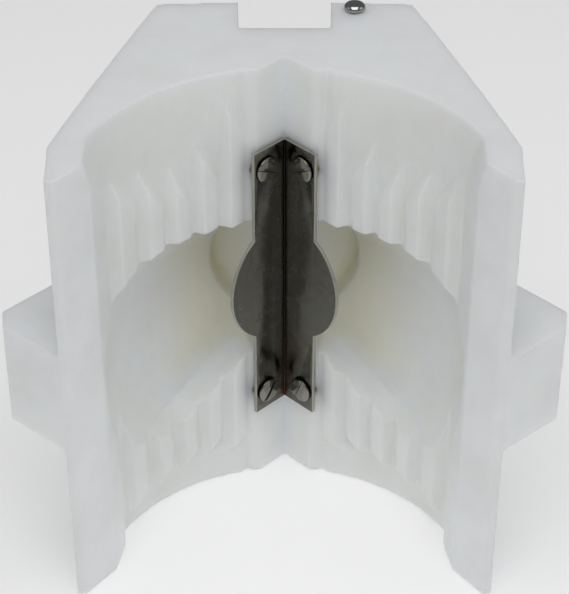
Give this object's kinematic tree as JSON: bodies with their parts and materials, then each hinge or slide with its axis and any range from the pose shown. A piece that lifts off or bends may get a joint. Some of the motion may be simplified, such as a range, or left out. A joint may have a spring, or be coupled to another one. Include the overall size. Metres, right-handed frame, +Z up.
{
  "type": "press cradle",
  "caption": "Half-round ribbed cradle of translucent white plastic with a V-bent steel guard plate in its back, side lugs and a notched rear face.",
  "frame": {"origin": "bottom centre of the bounding box", "axes": "+Z up along the bore, +X to the right along the two side lugs, +Y from the open front of the bore to the notched back"},
  "size_m": [0.1404, 0.083, 0.1332],
  "materials": {
    "white_acetal": "satin, slightly translucent",
    "polished_sheet_steel": "polished",
    "turned_screw_steel": "turned",
    "insert_brass": "machined",
    "polished_pin_steel": "polished"
  },
  "bodies": {
    "root": {"cradle_body": "white_acetal", "guard_plate": "polished_sheet_steel", "plate_screw_upper_left": "turned_screw_steel", "plate_screw_upper_right": "turned_screw_steel", "plate_screw_lower_left": "turned_screw_steel", "plate_screw_lower_right": "turned_screw_steel", "threaded_insert_upper_left": "insert_brass", "threaded_insert_upper_right": "insert_brass", "threaded_insert_lower_left": "insert_brass", "threaded_insert_lower_right": "insert_brass", "dome_pin": "polished_pin_steel"}
  },
  "joints": []
}
